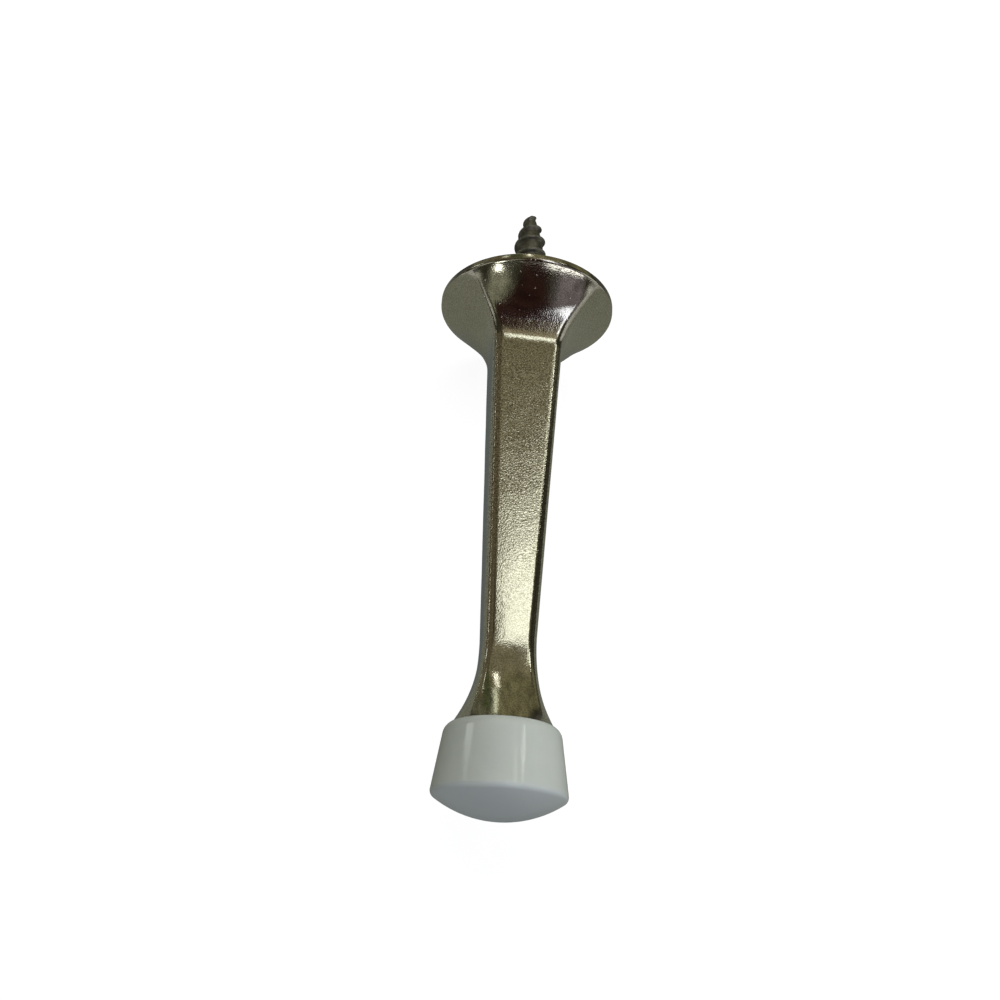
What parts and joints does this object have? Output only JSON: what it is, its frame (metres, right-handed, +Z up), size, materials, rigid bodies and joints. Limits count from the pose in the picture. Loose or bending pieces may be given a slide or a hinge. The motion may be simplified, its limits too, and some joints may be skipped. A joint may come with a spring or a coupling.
{
  "type": "rigid door stop",
  "caption": "Rigid screw-in door stop: plated square tapering post on a round flared base, with a wood screw behind it and a domed white bumper cap on its nose.",
  "frame": {"origin": "centre of the base's back plane, on the screw's axis, where the stop meets the wall or skirting board", "axes": "+Y into the wall along the screw, so the post and its bumper cap run to -Y; +Z up, square to one flat of the post; +X to the right"},
  "size_m": [0.0262, 0.0943, 0.0262],
  "materials": {
    "plated_casting": "bright nickel-type plate over a zinc casting, sandy cast skin on the top face",
    "screw_steel": "dull dark browned steel",
    "white_vinyl": "semi-gloss moulded white"
  },
  "bodies": {
    "root": {"cast_post": "plated_casting", "hanger_screw": "screw_steel", "bumper_cap": "white_vinyl"}
  },
  "joints": []
}
